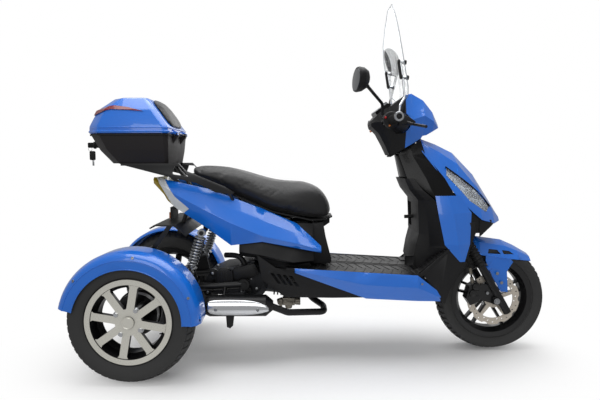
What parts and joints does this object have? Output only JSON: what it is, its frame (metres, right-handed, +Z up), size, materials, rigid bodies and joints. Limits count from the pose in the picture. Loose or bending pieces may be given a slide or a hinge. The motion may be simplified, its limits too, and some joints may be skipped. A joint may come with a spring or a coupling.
{
  "type": "motor trike scooter",
  "caption": "Three-wheeled motor scooter: one steered front wheel, two rear wheels, step-through floor, saddle, windscreen and rear top case.",
  "frame": {"origin": "on the floor, under the middle of the overall length and width", "axes": "+X forward, +Y to the rider's left, +Z up; all three wheels stand on Z = 0"},
  "size_m": [2.0609, 0.864, 1.5409],
  "materials": {
    "blue_paint": "gloss",
    "black_plastic": "satin",
    "black_gloss": "gloss",
    "frame_paint": "satin",
    "tyre_rubber": "matte",
    "soft_rubber": "matte",
    "seat_vinyl": "satin",
    "machined_alloy": "satin",
    "black_alloy": "satin",
    "chrome": "polished",
    "steel": "satin",
    "engine_alloy": "matte",
    "clear_lens": "polished",
    "red_lens": "polished",
    "amber_lens": "polished",
    "screen": "polished"
  },
  "bodies": {
    "front_wheel": {"front_tyre": "tyre_rubber", "front_rim": "black_alloy", "front_brake_disc": "steel"},
    "rear_wheel_right": {"rear_tyre_right": "tyre_rubber", "rear_rim_right": "machined_alloy"},
    "rear_wheel_left": {"rear_tyre_left": "tyre_rubber", "rear_rim_left": "machined_alloy"},
    "steering": {"fork": "frame_paint", "fork_bellows": "soft_rubber", "brake_caliper": "black_alloy", "front_fender": "blue_paint", "handlebar": "frame_paint", "grips": "soft_rubber", "brake_levers": "black_alloy", "bar_cowl_front": "blue_paint", "bar_cowl_rear": "black_plastic", "instrument": "black_gloss", "mirrors": "black_plastic", "windscreen": "screen", "windscreen_rods": "chrome"},
    "seat": {"seat_cushion": "seat_vinyl", "seat_pan": "black_plastic"},
    "case_lid": {"topcase_lid": "blue_paint", "topcase_lens": "red_lens", "backrest_pad": "seat_vinyl"},
    "chassis": {"frame": "frame_paint", "rear_axle": "frame_paint", "rear_dampers": "steel", "rear_springs": "steel", "engine": "engine_alloy", "exhaust": "frame_paint", "muffler_shield": "chrome", "rear_fenders": "blue_paint", "fender_stays": "frame_paint", "side_panels": "blue_paint", "tail_lamp": "clear_lens", "seat_base": "black_plastic", "storage_bin": "black_plastic", "floorboard": "black_plastic", "skirts": "blue_paint", "belly_panels": "black_plastic", "leg_shield": "black_plastic", "knee_panels": "black_plastic", "neck_cover": "black_gloss", "front_cowl": "blue_paint", "cowl_wings": "blue_paint", "headlamps": "clear_lens", "nose_lower": "black_plastic", "luggage_rack": "black_alloy", "topcase_base": "black_plastic", "topcase_lock": "steel", "plate_bracket": "black_plastic", "rear_reflector": "amber_lens"}
  },
  "joints": [
    {"name": "steering_turn", "type": "hinge", "parent": "chassis", "child": "steering", "pos_m": [0.5645, 0, 0.60811], "axis": [-0.5, 0, 0.866], "range_deg": [-35, 35]},
    {"name": "front_wheel_spin", "type": "hinge", "parent": "steering", "child": "front_wheel", "pos_m": [0.7875, 0, 0.243], "axis": [0, 1, 0], "continuous": true},
    {"name": "rear_right_spin", "type": "hinge", "parent": "chassis", "child": "rear_wheel_right", "pos_m": [-0.7465, -0.345, 0.25], "axis": [0, 1, 0], "continuous": true},
    {"name": "rear_left_spin", "type": "hinge", "parent": "chassis", "child": "rear_wheel_left", "pos_m": [-0.7465, 0.345, 0.25], "axis": [0, 1, 0], "continuous": true},
    {"name": "seat_lift", "type": "hinge", "parent": "chassis", "child": "seat", "pos_m": [0.0435, 0, 0.594], "axis": [0, 1, 0], "range_deg": [0, 65]},
    {"name": "lid_lift", "type": "hinge", "parent": "chassis", "child": "case_lid", "pos_m": [-0.6145, 0, 0.984], "axis": [0, 1, 0], "range_deg": [0, 70]}
  ]
}
